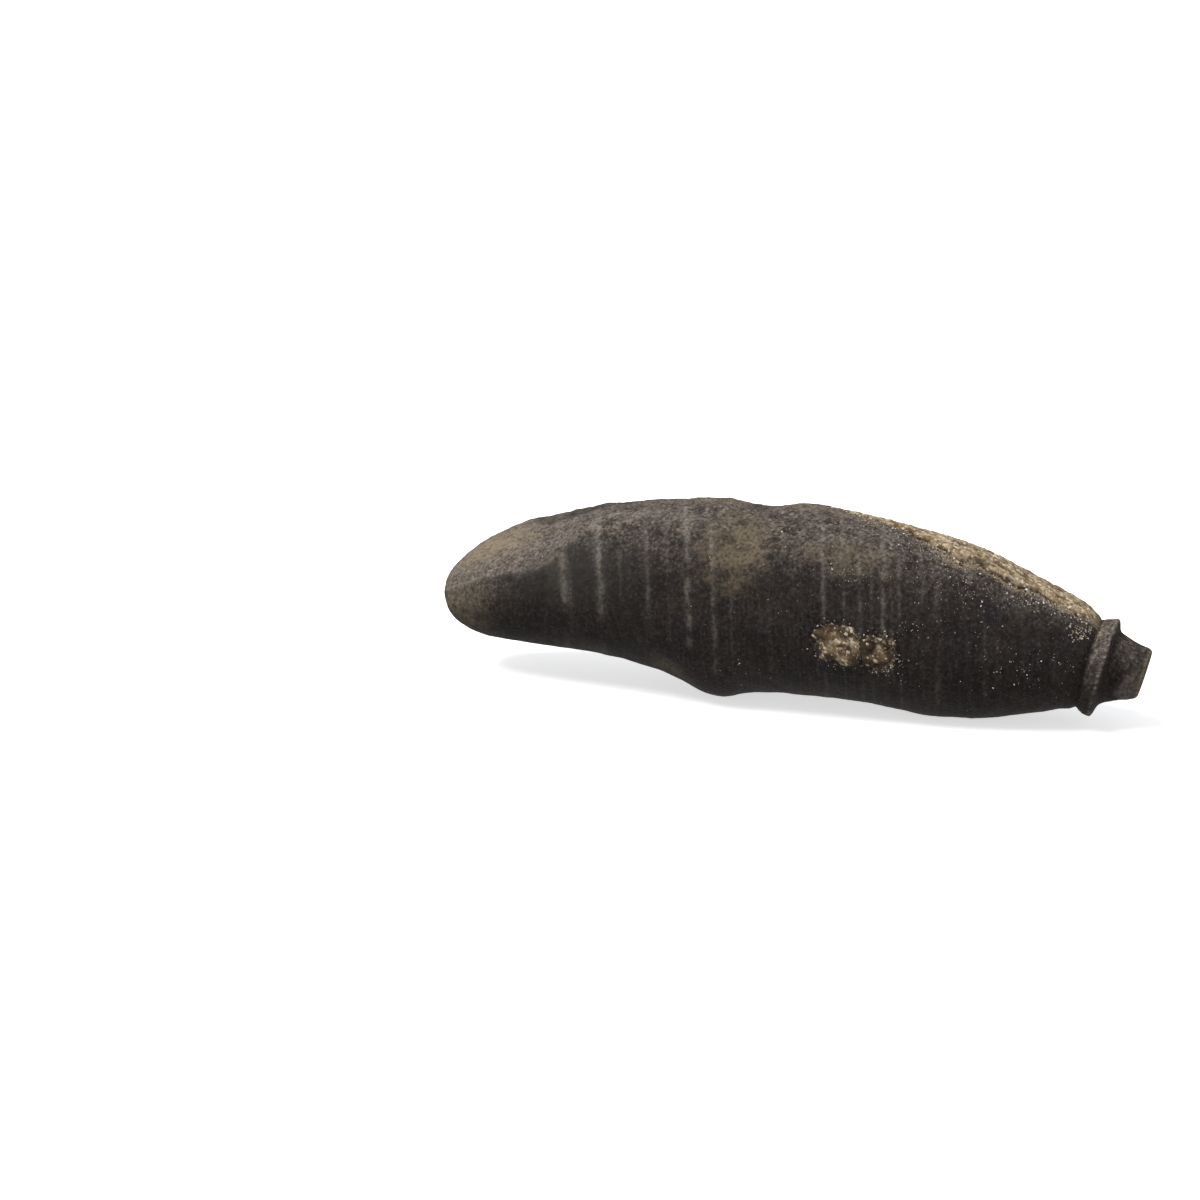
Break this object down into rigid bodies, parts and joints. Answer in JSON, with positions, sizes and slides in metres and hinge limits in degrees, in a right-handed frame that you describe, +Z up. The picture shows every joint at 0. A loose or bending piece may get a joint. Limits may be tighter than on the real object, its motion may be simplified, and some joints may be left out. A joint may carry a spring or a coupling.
{
  "type": "fossil sea urchin spine",
  "caption": "Club-shaped fossil sea urchin spine lying on its side: blunt worn tip, swollen shaft, milled collar and a short base with a shallow socket.",
  "frame": {"origin": "on the surface that the spine rests on, under the middle of its bounding box", "axes": "+X along the spine towards its base and socket, +Z up as it rests, -Y towards the side that shows the two matrix patches"},
  "size_m": [0.0607, 0.0163, 0.0166],
  "materials": {
    "fossil_calcite": "matte dark grey-brown calcite, with pale growth bands and remnants of tan sandy matrix"
  },
  "bodies": {
    "root": {"urchin_spine": "fossil_calcite"}
  },
  "joints": []
}
